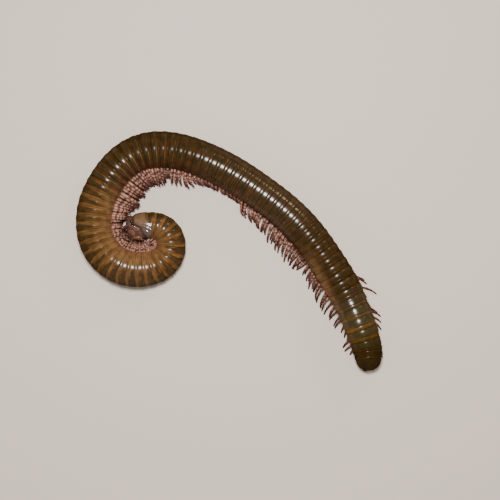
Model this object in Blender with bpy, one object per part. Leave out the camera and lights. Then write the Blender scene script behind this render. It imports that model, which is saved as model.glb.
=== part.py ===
"""A giant olive millipede at life size, its head end coiled on its right flank and its tail stretched out.

Sizes are in millimetres and angles in degrees. The animal lies on the plane z = 0.
"""

import math

import bmesh
import bpy
import numpy as np

MM = 0.001

# Middle line of the body, seen from above, from just ahead of the face to the tail tip.
ROUTE = [
    (-29.7, 6.7), (-28.1, 6.8), (-26.5, 7.0), (-24.6, 7.2), (-22.4, 7.5), (-20.3, 7.6), (-18.1, 6.9),
    (-16.2, 5.0), (-15.5, 2.3), (-16.2, -0.6), (-18.1, -2.8), (-20.9, -4.0), (-25.0, -4.5), (-29.5, -3.4),
    (-33.2, -0.6), (-35.6, 3.2), (-36.4, 7.8), (-35.9, 12.7), (-33.8, 17.6), (-30.6, 22.3), (-26.4, 25.9),
    (-21.6, 27.7), (-17.0, 27.9), (-8.5, 25.9), (-0.1, 22.0), (8.4, 16.5), (16.6, 10.0), (22.0, 4.1),
    (26.2, -1.9), (30.4, -8.6), (33.9, -15.8), (36.2, -21.9), (37.4, -26.2), (37.8, -29.5), (38.1, -32.4),
]
ROUTE_STEP = 0.05
# The corners of the route are rounded over about this length.
ROUTE_SMOOTHING = 1.6
# Middle of the animal's own box, so that the origin sits under it.
BOX_MIDDLE = (0.82, 0.30)

# Each list below pairs a distance along the route with the value there.
RADIUS = [
    (4.0, 3.5), (8.0, 3.65), (12.0, 3.8), (16.0, 3.95), (20.0, 4.2), (24.0, 4.6), (28.0, 4.85),
    (34.0, 5.0), (61.0, 5.05), (76.0, 5.1), (90.0, 4.9), (140.0, 4.85), (149.0, 4.6), (156.0, 4.35),
    (160.0, 4.05), (163.0, 3.6), (166.2, 2.4),
]
RING_LENGTH = [
    (7.7, 1.75), (12.0, 1.9), (17.0, 2.05), (25.0, 2.1), (40.0, 2.17), (61.0, 2.25), (80.0, 2.42),
    (90.0, 2.42), (101.0, 2.3), (134.0, 2.25), (142.0, 2.6), (149.0, 2.95), (156.0, 3.3), (161.0, 3.1),
]
# How far the belly is rolled from straight down towards the inside of the coil.
ROLL = [
    (5.0, 88.0), (40.0, 90.0), (70.0, 85.0), (86.0, 72.0), (101.0, 58.0), (119.0, 52.0), (130.0, 42.0),
    (139.5, 22.0), (147.0, 10.0), (166.0, 5.0),
]
# How far the animal's lowest line stands above the floor, where its legs lift it.
CLEARANCE = [
    (4.0, 0.9), (8.0, 0.6), (14.0, 0.0), (123.0, 0.0), (131.0, 0.4), (140.0, 1.0), (149.0, 1.3),
    (166.0, 1.4),
]
# How far the legs reach past the edge of the body.
LEG_REACH = [
    (8.0, 1.5), (10.0, 1.2), (20.0, 1.0), (24.0, 1.3), (30.0, 1.7), (36.0, 1.7), (45.0, 1.8), (49.0, 1.9),
    (51.0, 2.6), (54.0, 4.2), (57.0, 4.9), (62.0, 4.8), (70.0, 4.3), (77.5, 4.3), (80.0, 2.4),
    (82.5, 4.2), (88.0, 3.8), (95.0, 1.9), (102.0, 1.7), (105.5, 3.7), (112.0, 4.4), (129.0, 4.3),
    (132.5, 2.5), (135.5, 3.9), (142.0, 3.6), (150.0, 2.8), (159.0, 2.2),
]
# A standing leg's tip dips under the floor by this much, and the floor cuts it to a small flat.
TIP_SINK = 0.15
# Height of the left leg tips, which hang free where the animal lies on its flank.
LEFT_TIP_HEIGHT = [
    (10.0, 4.8), (24.0, 4.2), (40.0, 2.6), (86.0, 1.8), (106.0, 0.3), (124.0, -TIP_SINK),
]
# The right legs are tucked in under the flank where the animal lies on them.
TUCKED_REACH = 0.86
# The farthest that a leg reaches, as a share of the way to the middle of the coil's bend.
BEND_REACH = 0.84
# Length of route over which its bend is read, and the least turn that counts as a bend.
BEND_SPAN = 3.0
LEAST_TURN = 0.01

COLLUM_FRONT = 4.2
FIRST_RING = 7.7
LAST_RING = 162.6
LENGTHS = 11
GAP = 0.3
FLOOR_SINK = 0.3
FLOOR_DEPTH = 8.0
FLOOR_CORNERS = ((-90.0, -90.0), (90.0, -90.0), (90.0, 90.0), (-90.0, 90.0))
SHARP_ANGLE = 35.0

SIDES = 16
# A ring's narrow front slides into the ring ahead of it, and its rear edge is its widest part.
FRONT_SHARE = 0.955
REAR_AT = 0.94

ONE_PAIR_RINGS = 3
LEG_PLACES = (0.27, 0.76)
SINGLE_LEG_PLACE = 0.5
# Where the coil's inner edge is this much shorter than its middle line, the legs stand fewer.
CROWDED = 0.63
VERY_CROWDED = 0.33
LEG_SPREAD = 11.0
LEG_SIDES = 3
LEG_THICKNESS = (0.46, 0.45, 0.39, 0.34)
LEG_ROWS = (0.0, 0.34, 0.64, 0.88)
CROWDED_LEG_SHARE = 0.76
LEG_ROOT = 0.84
# A leg's bow: where its hip and ankle stand, as shares of its span, and how far they are lifted.
HIP_PLACE = 0.5
HIP_LIFT = {1: 0.18, -1: 0.02}
ANKLE_PLACE = 0.12
ANKLE_LIFT = 0.35
# The walking wave swings the legs along the body, the left and right ones out of step.
SWING = 0.7
SWING_WAVE = 20.0
SWING_PHASE = 0.6
SWING_BEND = 1.5
# Legs lean towards the middle of their own length of body, clear of the next one's.
GATHER = 0.22
COIL_GATHER = 1.1
GATHER_BEND = 0.7
# From here back the right legs stand out to the right.
SPLAY_FROM = 141.5

HEAD_SIDES = 24
HEAD_DEPTH = 2.35
HEAD_BULGE = 2.6
HEAD_ROWS = (0.0, 0.3, 0.55, 0.75, 0.9, 0.97)
HEAD_HALF_HEIGHT = 3.25
HEAD_HALF_WIDTH = 3.0
MOUTH_DEPTH = 0.55
FACE_BELLY = 0.3
# Egg shapes on the head and tail: place ahead of the collum's front edge or of the last ring's rear
# edge, towards the belly and to the left, then half sizes in the same three directions.
LIP = ((1.05, 3.0, 0.0), (0.85, 0.85, 1.7))
CHIN = ((-0.1, 3.2, 0.0), (0.95, 0.7, 1.5))
JAW = ((0.75, 1.5, 2.05), (1.1, 1.45, 1.05))
SOCKET = ((1.45, -0.35, 2.1), (0.6, 0.6, 0.6))
VALVE = ((-2.0, 0.35, 0.92), (1.65, 2.1, 1.02))
BALL_SIDES = 12
BALL_RINGS = 8
# Share of the collum's length and of its radius, from its front edge back.
COLLUM_ROWS = ((0.0, 0.9), (0.12, 0.985), (0.6, 1.04), (0.92, 1.03))
COLLUM_DRAWN_BACK = 1.3

# Depth on the head capsule and angle from the belly.
EYE_PLACE = (0.28, 112.0)
EYE_HALF_LENGTH = 0.8
EYE_HALF_WIDTH = 0.5
EYE_HEIGHT = 0.32
EYE_SIDES = 14
EYE_TILTS = (0.0, 30.0, 60.0)
# Small steps of depth and angle by which the head's surface is read round the eye.
EYE_PROBE = (0.05, 4.0)

# The left antenna's route: ahead of the collum, towards the mouth and out to the side.
ANTENNA_ROUTE = [
    (1.95, -0.45, 2.95), (2.6, -0.35, 3.25), (3.35, 0.35, 3.35), (3.45, 1.4, 3.1), (2.9, 2.4, 2.8),
    (2.1, 3.1, 2.6), (1.3, 3.6, 2.5),
]
ANTENNA_JOINTS = 7
ANTENNA_SIDES = 7
ANTENNA_WAIST = 0.26
# Place along a joint of the antenna, and the radius there.
ANTENNA_ROWS = ((0.02, ANTENNA_WAIST), (0.3, 0.315), (0.88, 0.35))
ANTENNA_CLUB = 0.12

# Rows of the tail end: behind the last ring, and the radius there as a share of that ring's.
TAIL_ROWS = ((0.0, 0.93), (0.9, 0.9), (1.7, 0.8), (2.4, 0.62))
# The cap's tip: behind the last ring, and towards the belly.
TAIL_CAP = (2.7, -0.4)

# Colour and roughness of each material.
CUTICLE = ((0.09, 0.05, 0.015), 0.22)
HEAD_SHELL = ((0.06, 0.03, 0.02), 0.25)
EYE_BLACK = ((0.01, 0.01, 0.01), 0.15)
FEELER = ((0.12, 0.06, 0.045), 0.35)


def natural_spline(knots, values, at):
    """A smooth curve through the values, read at the given places."""
    count = len(knots)
    system = np.eye(count)
    right = np.zeros_like(values)
    for i in range(1, count - 1):
        before = knots[i] - knots[i - 1]
        after = knots[i + 1] - knots[i]
        system[i, i - 1 : i + 2] = (before, 2 * (before + after), after)
        right[i] = 6 * ((values[i + 1] - values[i]) / after - (values[i] - values[i - 1]) / before)
    bend = np.linalg.solve(system, right)
    i = np.clip(np.searchsorted(knots, at, side="right") - 1, 0, count - 2)
    span = knots[i + 1] - knots[i]
    a = ((knots[i + 1] - at) / span)[:, None]
    b = 1 - a
    curve = (a**3 - a) * bend[i] + (b**3 - b) * bend[i + 1]
    return a * values[i] + b * values[i + 1] + curve * (span**2 / 6)[:, None]


def smoothed(points):
    """The points averaged along the route, with its ends carried on straight."""
    reach = int(4 * ROUTE_SMOOTHING / ROUTE_STEP)
    steps = np.arange(-reach, reach + 1) * ROUTE_STEP / ROUTE_SMOOTHING
    weights = np.exp(-0.5 * steps**2)
    before = points[0] + (points[0] - points[1]) * np.arange(reach, 0, -1)[:, None]
    after = points[-1] + (points[-1] - points[-2]) * np.arange(1, reach + 1)[:, None]
    padded = np.concatenate([before, points, after])
    columns = [np.convolve(padded[:, i], weights / weights.sum(), mode="valid") for i in (0, 1)]
    return np.stack(columns, axis=1)


def distances(points):
    steps = np.linalg.norm(np.diff(points, axis=0), axis=1)
    return np.concatenate([[0.0], np.cumsum(steps)])


def dense_route():
    """Distances along the route, the points there and the headings there."""
    corners = np.array(ROUTE) - BOX_MIDDLE
    knots = distances(corners)
    points = natural_spline(knots, corners, np.arange(0.0, knots[-1], ROUTE_STEP))
    along = distances(points)
    even = np.arange(0.0, along[-1], ROUTE_STEP)
    points = smoothed(np.stack([np.interp(even, along, points[:, i]) for i in (0, 1)], axis=1))
    along = distances(points)
    slope = np.gradient(points, along, axis=0)
    heading = np.unwrap(np.arctan2(slope[:, 1], slope[:, 0]))
    return along, points, heading


ALONG, POINTS, HEADING = dense_route()


def value_at(pairs, along):
    """The value that a list of distances and values gives at one distance."""
    places, values = zip(*pairs)
    return float(np.interp(along, places, values))


def heading_at(along):
    return float(np.interp(along, ALONG, HEADING))


def bend_radius(along):
    """Radius of the route's own bend."""
    turn = heading_at(along - 0.5 * BEND_SPAN) - heading_at(along + 0.5 * BEND_SPAN)
    return BEND_SPAN / max(turn, LEAST_TURN)


def point_at(along, out, up):
    """A point beside the route: out towards the inside of the coil, and up from the floor."""
    x = float(np.interp(along, ALONG, POINTS[:, 0]))
    y = float(np.interp(along, ALONG, POINTS[:, 1]))
    heading = heading_at(along)
    return np.array((x + out * math.sin(heading), y - out * math.cos(heading), up))


def middle_height(along):
    return value_at(RADIUS, along) - FLOOR_SINK + value_at(CLEARANCE, along)


def skin_point(along, radius, angle, shift=0.0):
    """A point of a ring: the angle runs from straight down towards the inside of the coil."""
    turn = math.radians(angle)
    up = middle_height(along) - radius * math.cos(turn)
    point = point_at(along, radius * math.sin(turn), up)
    heading = heading_at(along)
    return point + shift * np.array((math.cos(heading), math.sin(heading), 0.0))


def ring_row(along, radius, shift=0.0, sides=SIDES):
    """One circle of points round the body."""
    start = value_at(ROLL, along)
    return [skin_point(along, radius, start + 360 * j / sides, shift) for j in range(sides)]


def ring_borders():
    """Distances where one ring ends and the next begins."""
    borders = [FIRST_RING]
    while borders[-1] < LAST_RING:
        borders.append(borders[-1] + value_at(RING_LENGTH, borders[-1]))
    borders = np.array(borders)
    return FIRST_RING + (borders - FIRST_RING) * (LAST_RING - FIRST_RING) / (borders[-1] - FIRST_RING)


def shell_material(name, colour, roughness):
    material = bpy.data.materials.new(name)
    material.use_nodes = True
    shader = material.node_tree.nodes["Principled BSDF"]
    shader.inputs["Base Color"].default_value = (*colour, 1.0)
    shader.inputs["Roughness"].default_value = roughness
    shader.inputs["Metallic"].default_value = 0.0
    return material


def add_object(name, points, faces, material):
    mesh = bpy.data.meshes.new(name)
    mesh.from_pydata([tuple(point * MM) for point in points], [], faces)
    shape = bmesh.new()
    shape.from_mesh(mesh)
    bmesh.ops.recalc_face_normals(shape, faces=shape.faces)
    if shape.calc_volume(signed=True) < 0:
        bmesh.ops.reverse_faces(shape, faces=shape.faces)
    shape.to_mesh(mesh)
    shape.free()
    mesh.materials.append(material)
    obj = bpy.data.objects.new(name, mesh)
    bpy.context.collection.objects.link(obj)
    return obj


def add_loft(name, rows, material, tip=None, back=None):
    """A closed skin over rows of points, ending in a tip point or a flat cap, and likewise at the back."""
    count = len(rows[0])
    points = [point for row in rows for point in row]
    faces = []
    for i in range(len(rows) - 1):
        for j in range(count):
            k = (j + 1) % count
            first = i * count
            faces.append((first + j, first + k, first + count + k, first + count + j))
    for first, end in ((0, back), ((len(rows) - 1) * count, tip)):
        if end is None:
            faces.append(tuple(range(first, first + count)))
            continue
        points.append(end)
        faces += [(first + j, first + (j + 1) % count, len(points) - 1) for j in range(count)]
    return add_object(name, points, faces, material)


def tube_rows(path, radii, sides, side_way):
    """Rows of points round the path, one for each radius, turned by a direction that crosses the path."""
    path = np.array(path)
    ways = np.gradient(path, axis=0)
    rows = []
    for point, way, radius in zip(path, ways, radii):
        way = way / np.linalg.norm(way)
        across = side_way - way * np.dot(side_way, way)
        across = across / np.linalg.norm(across)
        over = np.cross(way, across)
        row = []
        for j in range(sides):
            turn = 2 * math.pi * j / sides
            row.append(point + radius * (math.cos(turn) * across + math.sin(turn) * over))
        rows.append(row)
    return rows


def leg_curve(along, side, reach, share):
    """A leg's middle line at a share of its length: out and up beside the route."""
    radius = value_at(RADIUS, along)
    height = middle_height(along)
    angle = math.radians(value_at(ROLL, along) + side * LEG_SPREAD)
    root = np.array((LEG_ROOT * radius * math.sin(angle), height - LEG_ROOT * radius * math.cos(angle)))
    outward = -1.0 if side < 0 and along > SPLAY_FROM else 1.0
    tip_up = value_at(LEFT_TIP_HEIGHT, along) if side > 0 else -TIP_SINK
    tip = np.array((outward * (radius + reach), tip_up))
    span = abs(tip[0] - root[0])
    hip = root + (outward * HIP_PLACE * span, HIP_LIFT[side] * span)
    ankle = tip + (-outward * ANKLE_PLACE * span, ANKLE_LIFT * (1 + root[1] - tip_up))
    rest = 1 - share
    return rest**3 * root + 3 * rest**2 * share * hip + 3 * rest * share**2 * ankle + share**3 * tip


def swing_at(along, side):
    """How far a leg's tip swings along the body in the walking wave."""
    return SWING * math.sin(2 * math.pi * along / SWING_WAVE + SWING_PHASE * side)


def inner_share(along):
    """Length of the coil's inner edge as a share of its middle line."""
    return 1 - value_at(RADIUS, along) / bend_radius(along)


def add_leg(along, side, middle, half, material):
    """One tapered leg, its tip swung by the wave and gathered towards the middle of its length of body."""
    radius = value_at(RADIUS, along)
    reach = value_at(LEG_REACH, along)
    outside = side < 0 and along > SPLAY_FROM
    if side < 0 and not outside:
        reach *= TUCKED_REACH
    if not outside:
        reach = min(reach, BEND_REACH * bend_radius(along) - radius)
    curl = 0.0 if outside else 1 - inner_share(along)
    gather = (GATHER + COIL_GATHER * curl) * (middle - along) / half
    thin = CROWDED_LEG_SHARE if inner_share(along) < CROWDED else 1.0
    path = []
    for share in (*LEG_ROWS, 1.0):
        out, up = leg_curve(along, side, reach, share)
        swing = swing_at(along, side) * (1 - curl)
        moved = swing * share**SWING_BEND + gather * share**GATHER_BEND
        path.append(point_at(along + moved, out, up))
    heading = heading_at(along)
    side_way = np.array((math.cos(heading), math.sin(heading), 0.0))
    radii = [thin * thickness for thickness in LEG_THICKNESS]
    rows = tube_rows(path, radii, LEG_SIDES, side_way)
    return add_loft("leg", rows, material, tip=path[-1])


def leg_places(index, start, end, last):
    """Distances along the route where a ring carries a pair of legs."""
    if index >= last:
        return []
    middle = start + SINGLE_LEG_PLACE * (end - start)
    room = inner_share(middle)
    if room < VERY_CROWDED and index % 2:
        return []
    if index < ONE_PAIR_RINGS or room < CROWDED:
        return [middle]
    return [start + place * (end - start) for place in LEG_PLACES]


def apply_boolean(obj, operation, other):
    """Joins to or cuts from an object the closed pieces of a collection, and leaves plain mesh."""
    modifier = obj.modifiers.new("shape", "BOOLEAN")
    modifier.operation = operation
    modifier.solver = "MANIFOLD"
    modifier.operand_type = "COLLECTION"
    modifier.collection = other
    graph = bpy.context.evaluated_depsgraph_get()
    result = bpy.data.meshes.new_from_object(obj.evaluated_get(graph))
    obj.modifiers.clear()
    obj.data = result


def fuse(obj, operation, pieces):
    group = bpy.data.collections.new("pieces")
    bpy.context.scene.collection.children.link(group)
    for piece in pieces:
        bpy.context.collection.objects.unlink(piece)
        group.objects.link(piece)
    apply_boolean(obj, operation, group)
    for piece in pieces:
        bpy.data.objects.remove(piece)
    bpy.data.collections.remove(group)


def keep_largest(obj):
    """Drops loose scraps and sealed hollows, so that one closed surface is left."""
    shape = bmesh.new()
    shape.from_mesh(obj.data)
    left = set(shape.verts)
    parts = []
    while left:
        part = {left.pop()}
        edge = set(part)
        while edge:
            edge = {e.other_vert(v) for v in edge for e in v.link_edges} - part
            part |= edge
        left -= part
        parts.append(part)
    parts.sort(key=len)
    for part in parts[:-1]:
        bmesh.ops.delete(shape, geom=list(part), context="VERTS")
    shape.to_mesh(obj.data)
    shape.free()


def floor_block(material):
    """A block below the floor, which flattens what rests on it."""
    rows = [[np.array((x, y, z)) for x, y in FLOOR_CORNERS] for z in (-FLOOR_DEPTH, 0.0)]
    return add_loft("floor_block", rows, material)


def finish_node(obj, pieces, material):
    """Joins a node's pieces to it, sets it flat on the floor and smooths its shading."""
    if pieces:
        fuse(obj, "UNION", pieces)
    fuse(obj, "DIFFERENCE", [floor_block(material)])
    keep_largest(obj)
    obj.data.materials.clear()
    obj.data.materials.append(material)
    obj.data.shade_smooth()
    obj.data.set_sharp_from_angle(angle=math.radians(SHARP_ANGLE))
    return obj


def add_length(number, borders, material):
    """One length of the body: its rings in a row, with all their legs."""
    count = len(borders) - 1
    first = round(count * number / LENGTHS)
    after = round(count * (number + 1) / LENGTHS)
    middle = 0.5 * (borders[first] + borders[after])
    half = 0.5 * (borders[after] - borders[first])
    rows = []
    pieces = []
    for index in range(first, after):
        start, end = borders[index], borders[index + 1]
        rear = start + REAR_AT * (end - start)
        shift = 0.5 * GAP if index == first else 0.0
        rows.append(ring_row(start, FRONT_SHARE * value_at(RADIUS, start), shift))
        if index == after - 1:
            rows.append(ring_row(end, value_at(RADIUS, end), -0.5 * GAP))
        else:
            rows.append(ring_row(rear, value_at(RADIUS, rear)))
        for along in leg_places(index, start, end, count - 1):
            for side in (-1, 1):
                pieces.append(add_leg(along, side, middle, half, material))
    name = f"body_{number + 1:02d}"
    return finish_node(add_loft(name, rows, material), pieces, material)


def interface_at(angle):
    """Distance along the route of the collum's front edge, which draws back towards the belly."""
    belly = 0.5 + 0.5 * math.cos(math.radians(angle))
    return COLLUM_FRONT + COLLUM_DRAWN_BACK * belly**2


def collum_point(share, grow, angle, shift):
    front = interface_at(angle)
    along = front + share * (FIRST_RING - front)
    radius = grow * value_at(RADIUS, COLLUM_FRONT)
    return skin_point(along, radius, value_at(ROLL, COLLUM_FRONT) + angle, shift)


def add_collum(material):
    """The collar behind the head, widest over the back and drawn in to a lobe on each flank."""
    angles = [360 * j / HEAD_SIDES for j in range(HEAD_SIDES)]
    rows = []
    for share, grow in COLLUM_ROWS:
        shift = 0.5 * GAP if share == 0 else 0.0
        rows.append([collum_point(share, grow, angle, shift) for angle in angles])
    rows.append(ring_row(FIRST_RING, value_at(RADIUS, FIRST_RING), -0.5 * GAP, HEAD_SIDES))
    front = skin_point(COLLUM_FRONT, 0.0, 0.0, 1.5 * GAP)
    return finish_node(add_loft("collum", rows, material, back=front), [], material)


def head_outline(angle):
    """The head's own outline seen from the front: deeper towards the mouth, narrower at the sides."""
    turn = math.radians(angle)
    deep = HEAD_HALF_HEIGHT + MOUTH_DEPTH * (0.5 + 0.5 * math.cos(turn)) ** 2
    return 1 / math.hypot(math.cos(turn) / deep, math.sin(turn) / HEAD_HALF_WIDTH)


def head_skin(depth, angle, shift=0.0):
    """A point on the head capsule, from its back rim at depth 0 to its face at depth 1."""
    narrow = (1 - depth**HEAD_BULGE) ** (1 / HEAD_BULGE)
    along = interface_at(angle) * (1 - depth) + (COLLUM_FRONT - HEAD_DEPTH) * depth
    return skin_point(along, narrow * head_outline(angle), value_at(ROLL, COLLUM_FRONT) + angle, shift)


def body_point(along, belly, left):
    """A point off the middle line: towards the belly, and towards the animal's left."""
    angle = math.degrees(math.atan2(left, belly))
    return skin_point(along, math.hypot(belly, left), value_at(ROLL, along) + angle)


def add_ball(edge, shape, side, material):
    """One of the egg shapes above, set off from an edge along the route, on the left or right side."""
    (ahead, belly, left), (half_length, half_depth, half_width) = shape
    along = edge - ahead
    left *= side
    rows = []
    for i in range(1, BALL_RINGS):
        tilt = math.pi * i / BALL_RINGS
        row = []
        for j in range(BALL_SIDES):
            turn = 2 * math.pi * j / BALL_SIDES
            down = belly + half_depth * math.sin(tilt) * math.cos(turn)
            aside = left + half_width * math.sin(tilt) * math.sin(turn)
            row.append(body_point(along + half_length * math.cos(tilt), down, aside))
        rows.append(row)
    rear = body_point(along + half_length, belly, left)
    front = body_point(along - half_length, belly, left)
    return add_loft("ball", rows, material, tip=front, back=rear)


def add_head(material):
    """The head capsule with its lip, chin plate, jaw bases and antenna sockets."""
    rows = []
    for depth in HEAD_ROWS:
        shift = -0.5 * GAP if depth == 0 else 0.0
        rows.append([head_skin(depth, 360 * j / HEAD_SIDES, shift) for j in range(HEAD_SIDES)])
    face = body_point(COLLUM_FRONT - HEAD_DEPTH, FACE_BELLY, 0.0)
    neck = skin_point(COLLUM_FRONT, 0.0, 0.0, 0.5 * GAP)
    pieces = [add_ball(COLLUM_FRONT, shape, 1, material) for shape in (LIP, CHIN)]
    for side in (-1, 1):
        pieces += [add_ball(COLLUM_FRONT, shape, side, material) for shape in (JAW, SOCKET)]
    return finish_node(add_loft("head", rows, material, tip=face, back=neck), pieces, material)


def add_eye(name, side, material):
    """A low oval dome of eye spots on the side of the head."""
    depth, angle = EYE_PLACE
    angle *= side
    depth_step, angle_step = EYE_PROBE
    root = head_skin(depth, angle)
    down = head_skin(depth, angle - angle_step) - head_skin(depth, angle + angle_step)
    down = down / np.linalg.norm(down)
    ahead = head_skin(depth + depth_step, angle) - head_skin(depth - depth_step, angle)
    outward = np.cross(down, ahead)
    outward = outward / np.linalg.norm(outward)
    if np.dot(outward, root - body_point(COLLUM_FRONT, 0.0, 0.0)) < 0:
        outward = -outward
    ahead = np.cross(outward, down)
    rows = []
    for tilt in EYE_TILTS:
        wide = math.cos(math.radians(tilt))
        up = GAP + EYE_HEIGHT * math.sin(math.radians(tilt))
        row = []
        for j in range(EYE_SIDES):
            turn = 2 * math.pi * j / EYE_SIDES
            length = EYE_HALF_LENGTH * wide * math.cos(turn)
            width = EYE_HALF_WIDTH * wide * math.sin(turn)
            row.append(root + down * length + ahead * width + outward * up)
        rows.append(row)
    return add_loft(name, rows, material, tip=root + outward * (GAP + EYE_HEIGHT))


def add_antenna(name, side, material):
    """A jointed feeler that curls forward and down beside the face."""
    corners = []
    for ahead, belly, left in ANTENNA_ROUTE:
        corners.append(body_point(COLLUM_FRONT - ahead, belly, side * left))
    corners = np.array(corners)
    knots = distances(corners)
    places = []
    radii = []
    for joint in range(ANTENNA_JOINTS):
        club = 1.0 + ANTENNA_CLUB * math.sin(math.pi * joint / (ANTENNA_JOINTS - 1))
        for place, radius in ANTENNA_ROWS:
            places.append(joint + place)
            radii.append(club * radius)
    places.append(ANTENNA_JOINTS)
    radii.append(ANTENNA_WAIST)
    path = natural_spline(knots, corners, knots[-1] * np.array(places) / ANTENNA_JOINTS)
    rows = tube_rows(path, radii, ANTENNA_SIDES, np.array((0.0, 0.0, 1.0)))
    return add_loft(name, rows, material)


def add_telson(material):
    """The tail end: a short blunt cap over two closed valves."""
    radius = value_at(RADIUS, LAST_RING)
    rows = []
    for behind, grow in TAIL_ROWS:
        rows.append(ring_row(LAST_RING + behind, grow * radius, 0.5 * GAP if behind == 0 else 0.0))
    cap = body_point(LAST_RING + TAIL_CAP[0], TAIL_CAP[1], 0.0)
    pieces = [add_ball(LAST_RING, VALVE, side, material) for side in (-1, 1)]
    return finish_node(add_loft("telson", rows, material, tip=cap), pieces, material)


def main():
    for obj in list(bpy.data.objects):
        bpy.data.objects.remove(obj)
    cuticle = shell_material("cuticle", *CUTICLE)
    head_shell = shell_material("head_shell", *HEAD_SHELL)
    eye_black = shell_material("eye_black", *EYE_BLACK)
    feeler = shell_material("feeler", *FEELER)
    add_head(head_shell)
    for name, side in (("left", 1), ("right", -1)):
        add_eye(f"eye_{name}", side, eye_black)
        add_antenna(f"antenna_{name}", side, feeler)
    add_collum(cuticle)
    borders = ring_borders()
    for number in range(LENGTHS):
        add_length(number, borders, cuticle)
    add_telson(cuticle)


main()
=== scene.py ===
"""Looks of the giant olive millipede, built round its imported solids.

Sizes are in millimetres and angles in degrees. The route, radii, ring lengths, roll and clearance
are the solids' own.
"""

import math

import bpy
import numpy as np
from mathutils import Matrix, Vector


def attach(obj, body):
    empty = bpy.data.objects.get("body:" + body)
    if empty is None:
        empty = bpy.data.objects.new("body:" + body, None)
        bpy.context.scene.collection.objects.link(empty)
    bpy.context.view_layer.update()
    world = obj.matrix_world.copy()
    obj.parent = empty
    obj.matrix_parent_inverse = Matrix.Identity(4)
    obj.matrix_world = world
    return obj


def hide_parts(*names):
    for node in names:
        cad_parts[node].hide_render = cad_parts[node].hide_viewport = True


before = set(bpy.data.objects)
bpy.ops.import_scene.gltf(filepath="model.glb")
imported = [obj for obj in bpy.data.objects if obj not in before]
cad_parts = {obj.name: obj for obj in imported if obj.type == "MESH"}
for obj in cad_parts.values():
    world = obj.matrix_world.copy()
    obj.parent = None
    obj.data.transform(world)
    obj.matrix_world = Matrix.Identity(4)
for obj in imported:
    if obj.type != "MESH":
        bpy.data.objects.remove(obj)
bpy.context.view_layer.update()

MM = 0.001
CHANCE = np.random.RandomState(7)
JOINT_CHANCE = np.random.RandomState(3)

# The body's middle line from above, from just ahead of the face to the tail tip.
ROUTE = [
    (-29.7, 6.7), (-28.1, 6.8), (-26.5, 7), (-24.6, 7.2), (-22.4, 7.5), (-20.3, 7.6), (-18.1, 6.9),
    (-16.2, 5), (-15.5, 2.3), (-16.2, -0.6), (-18.1, -2.8), (-20.9, -4), (-25, -4.5), (-29.5, -3.4),
    (-33.2, -0.6), (-35.6, 3.2), (-36.4, 7.8), (-35.9, 12.7), (-33.8, 17.6), (-30.6, 22.3),
    (-26.4, 25.9), (-21.6, 27.7), (-17, 27.9), (-8.5, 25.9), (-0.1, 22), (8.4, 16.5), (16.6, 10),
    (22, 4.1), (26.2, -1.9), (30.4, -8.6), (33.9, -15.8), (36.2, -21.9), (37.4, -26.2), (37.8, -29.5),
    (38.1, -32.4),
]
ROUTE_STEP = 0.05
ROUTE_SMOOTHING = 1.6
BOX_MIDDLE = (0.82, 0.30)
# The route's bend is measured over this span.
BEND_SPAN = 3
LEAST_TURN = 0.01

# Each list in square brackets below pairs distances along the route with values there.
RADIUS = [
    (4, 3.5), (8, 3.65), (12, 3.8), (16, 3.95), (20, 4.2), (24, 4.6), (28, 4.85), (34, 5), (61, 5.05),
    (76, 5.1), (90, 4.9), (140, 4.85), (149, 4.6), (156, 4.35), (160, 4.05), (163, 3.6), (166.2, 2.4),
]
RING_LENGTH = [
    (7.7, 1.75), (12, 1.9), (17, 2.05), (25, 2.1), (40, 2.17), (61, 2.25), (80, 2.42), (90, 2.42),
    (101, 2.3), (134, 2.25), (142, 2.6), (149, 2.95), (156, 3.3), (161, 3.1),
]
# How far the belly is rolled towards the inside of the coil.
ROLL = [
    (5, 88), (40, 90), (70, 85), (86, 72), (101, 58), (119, 52), (130, 42), (139.5, 22), (147, 10),
    (166, 5),
]
# How far the body stands off the floor.
CLEARANCE = [(4, 0.9), (8, 0.6), (14, 0), (123, 0), (131, 0.4), (140, 1), (149, 1.3), (166, 1.4)]
# How far the floor presses the body in.
FLOOR_SINK = 0.3

COLLUM_FRONT = 4.2
FIRST_RING = 7.7
LAST_RING = 162.6
ROUTE_END = 166.3
LENGTHS = 11

# A ring from front to back: place along it, and share of the body's radius. A groove parts the front
# band from the main plate, and the rear lip turns in.
RING_PROFILE = (
    (-0.2, 0.88), (-0.12, 0.94), (-0.03, 0.968), (0.02, 0.977), (0.06, 0.9815), (0.12, 0.983),
    (0.19, 0.983), (0.24, 0.981), (0.275, 0.976), (0.3, 0.967), (0.325, 0.965), (0.345, 0.974),
    (0.37, 0.986), (0.4, 0.9935), (0.44, 0.997), (0.5, 0.9985), (0.6, 0.9997), (0.7, 1), (0.79, 0.9998),
    (0.86, 0.9985), (0.905, 0.9955), (0.94, 0.989), (0.962, 0.978), (0.953, 0.966), (0.86, 0.952),
    (0.75, 0.944),
)
# How much plates swell: along the route, in all, and about a middle over a half length.
SWOLLEN = [
    (23.5, 1), (26.5, 0.1), (34.5, 0.1), (38, 1), (80, 1), (90, 0), (121, 0), (128, 1), (143.5, 1),
    (146, 0), (151.5, 0), (154.5, 1),
]
SWELL = 0.052
SWELL_PLATE = (0.65, 0.25)
# How far each plate rises towards its rear, from the second place on it to the first.
RISE = [
    (100, 0), (106, 0.05), (118, 0.05), (122, 0), (144.5, 0), (146, 0.26), (151, 0.26), (153.5, 0.08),
    (162, 0.06),
]
RISE_PLATE = (0.9, 0.4)
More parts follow.
